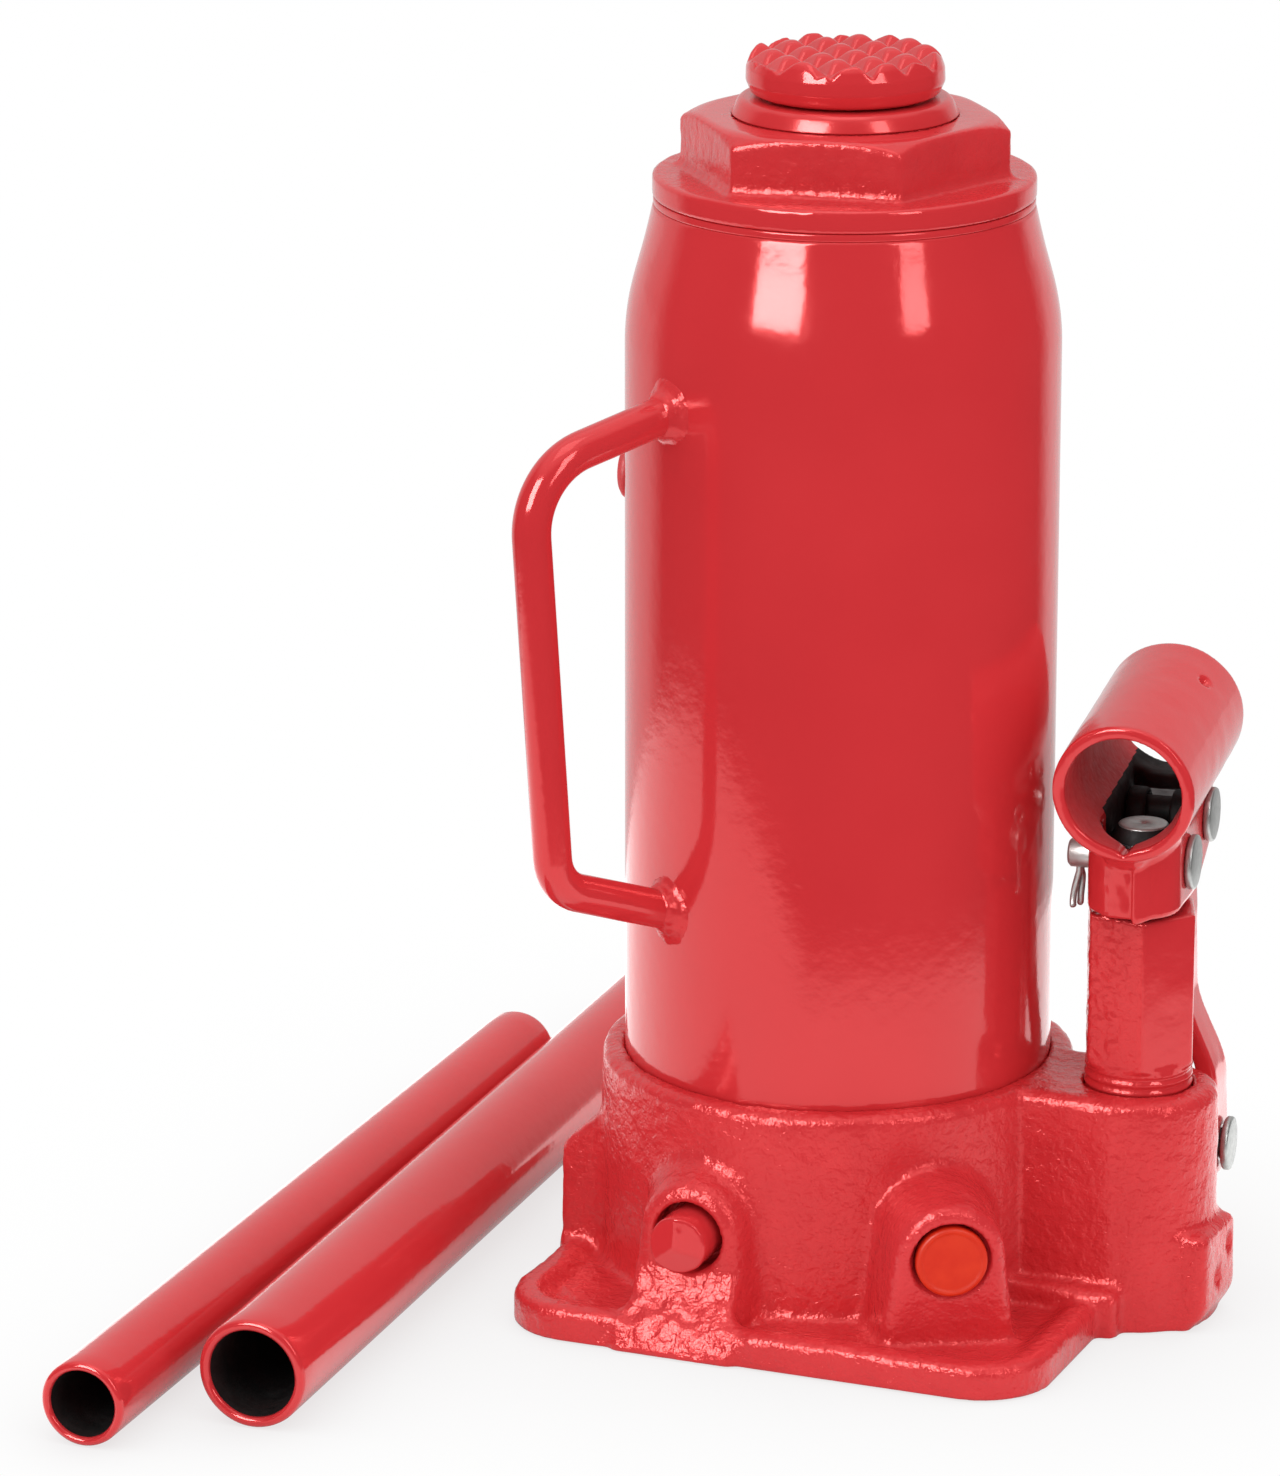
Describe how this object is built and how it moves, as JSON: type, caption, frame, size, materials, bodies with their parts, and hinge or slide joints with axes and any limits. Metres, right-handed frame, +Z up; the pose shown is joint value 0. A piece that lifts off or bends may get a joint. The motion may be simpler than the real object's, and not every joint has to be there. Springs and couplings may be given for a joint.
{
  "type": "hydraulic bottle jack",
  "caption": "Upright hydraulic bottle jack with a hexagon top nut, serrated saddle on an extension screw, side pump with a handle socket, carry handle, and loose lever tubes.",
  "frame": {"origin": "lifting axis at the foot's underside", "axes": "+Z up along the lifting axis, +X from the lifting axis to the pump, -Y to the front with the release valve"},
  "size_m": [0.1779, 0.2695, 0.23],
  "materials": {
    "red_casting": "gloss enamel over rough sand casting",
    "red_paint": "gloss enamel",
    "machined_steel": "turned, oiled",
    "zinc_steel": "bright zinc plate",
    "copper_seal": "annealed copper",
    "seal_rubber": "matt black nitrile",
    "red_rubber": "satin, painted over",
    "bearing_plastic": "natural nylon",
    "orange_plastic": "satin"
  },
  "bodies": {
    "base": {"base_casting": "red_casting", "reservoir_tube": "red_paint", "top_nut": "red_paint", "pressure_cylinder": "machined_steel", "cylinder_base_gasket": "copper_seal", "reservoir_base_gasket": "seal_rubber", "reservoir_top_gasket": "seal_rubber", "gland_o_ring": "seal_rubber", "ram_wiper_ring": "seal_rubber", "pump_cylinder": "red_paint", "pump_cylinder_gasket": "copper_seal", "plunger_seal": "seal_rubber", "passage_plug": "machined_steel", "oil_strainer": "bearing_plastic", "relief_screw": "machined_steel", "relief_spring": "machined_steel", "safety_valve_plug": "orange_plastic", "carry_handle": "red_paint", "carry_handle_welds": "red_paint", "lower_link_pin": "zinc_steel", "lower_link_cotter": "zinc_steel"},
    "ram": {"ram": "red_paint", "piston_seal": "seal_rubber", "piston_wear_ring": "bearing_plastic"},
    "screw_stop": {"screw_stop_ring": "machined_steel"},
    "screw": {"extension_screw": "red_paint"},
    "plunger": {"pump_plunger": "machined_steel"},
    "socket": {"handle_socket": "red_paint", "plunger_pin": "zinc_steel", "plunger_pin_cotter": "zinc_steel", "upper_link_pin": "zinc_steel", "upper_link_cotter": "zinc_steel"},
    "link": {"link_plates": "red_paint"},
    "release_ball": {"release_ball": "machined_steel"},
    "release_valve": {"release_valve_screw": "red_paint"},
    "suction_ball": {"suction_ball": "machined_steel"},
    "discharge_ball": {"discharge_ball": "machined_steel"},
    "relief_ball": {"relief_ball": "machined_steel"},
    "filler_plug": {"oil_filler_plug": "red_rubber"},
    "lower_lever": {"lower_lever_tube": "red_paint"},
    "upper_lever": {"upper_lever_tube": "red_paint"}
  },
  "joints": [
    {"name": "ram_lift", "type": "slide", "parent": "base", "child": "ram", "axis": [0, 0, 1], "range_m": [0, 0.15]},
    {"name": "screw_rise", "type": "slide", "parent": "ram", "child": "screw_stop", "axis": [0, 0, 1], "range_m": [0, 0.08]},
    {"name": "screw_turn", "type": "hinge", "parent": "screw_stop", "child": "screw", "pos_m": [0, 0, 0.2], "axis": [0, 0, 1], "range_deg": [0, 7200]},
    {"name": "plunger_lift", "type": "slide", "parent": "base", "child": "plunger", "axis": [0, 0, 1], "range_m": [0, 0.01269]},
    {"name": "socket_swing", "type": "hinge", "parent": "plunger", "child": "socket", "pos_m": [0.0585, 0, 0.086], "axis": [-0.9945, -0.1045, 0], "range_deg": [0, 50]},
    {"name": "link_swing", "type": "hinge", "parent": "base", "child": "link", "pos_m": [0.05625, 0.02138, 0.0254], "axis": [-0.9945, -0.1045, 0], "range_deg": [-1.61, 0]},
    {"name": "release_ball_slide", "type": "slide", "parent": "base", "child": "release_ball", "axis": [0, -1, 0], "range_m": [0, 0.00225]},
    {"name": "release_valve_turn", "type": "hinge", "parent": "release_ball", "child": "release_valve", "pos_m": [-0.01, -0.045, 0.0206], "axis": [0, -1, 0], "range_deg": [0, 540]},
    {"name": "suction_ball_lift", "type": "slide", "parent": "base", "child": "suction_ball", "axis": [0, 0, 1], "range_m": [0, 0.001]},
    {"name": "discharge_ball_lift", "type": "slide", "parent": "base", "child": "discharge_ball", "axis": [0, 0, 1], "range_m": [0, 0.001]},
    {"name": "relief_ball_lift", "type": "slide", "parent": "base", "child": "relief_ball", "axis": [0.5, -0.866, 0], "range_m": [0, 0.0008], "deforming": ["relief_spring"]},
    {"name": "filler_plug_pull", "type": "slide", "parent": "base", "child": "filler_plug", "axis": [-0.9962, -0.0872, 0], "range_m": [0, 0.005]},
    {"name": "lower_lever_slide", "type": "slide", "parent": "base", "child": "lower_lever", "axis": [0.0454, -0.999, 0], "range_m": [0, 0.15]},
    {"name": "upper_lever_slide", "type": "slide", "parent": "base", "child": "upper_lever", "axis": [0.0262, -0.9997, 0], "range_m": [0, 0.15]}
  ],
  "couplings": [
    {"joint": "screw_turn", "follows": "screw_rise", "rad_per_m": 1570.8},
    {"joint": "plunger_lift", "follows": "socket_swing", "m_per_rad": 0.01453},
    {"joint": "link_swing", "follows": "socket_swing", "ratio": -0.031891},
    {"joint": "release_valve_turn", "follows": "release_ball_slide", "rad_per_m": 4188.4}
  ]
}
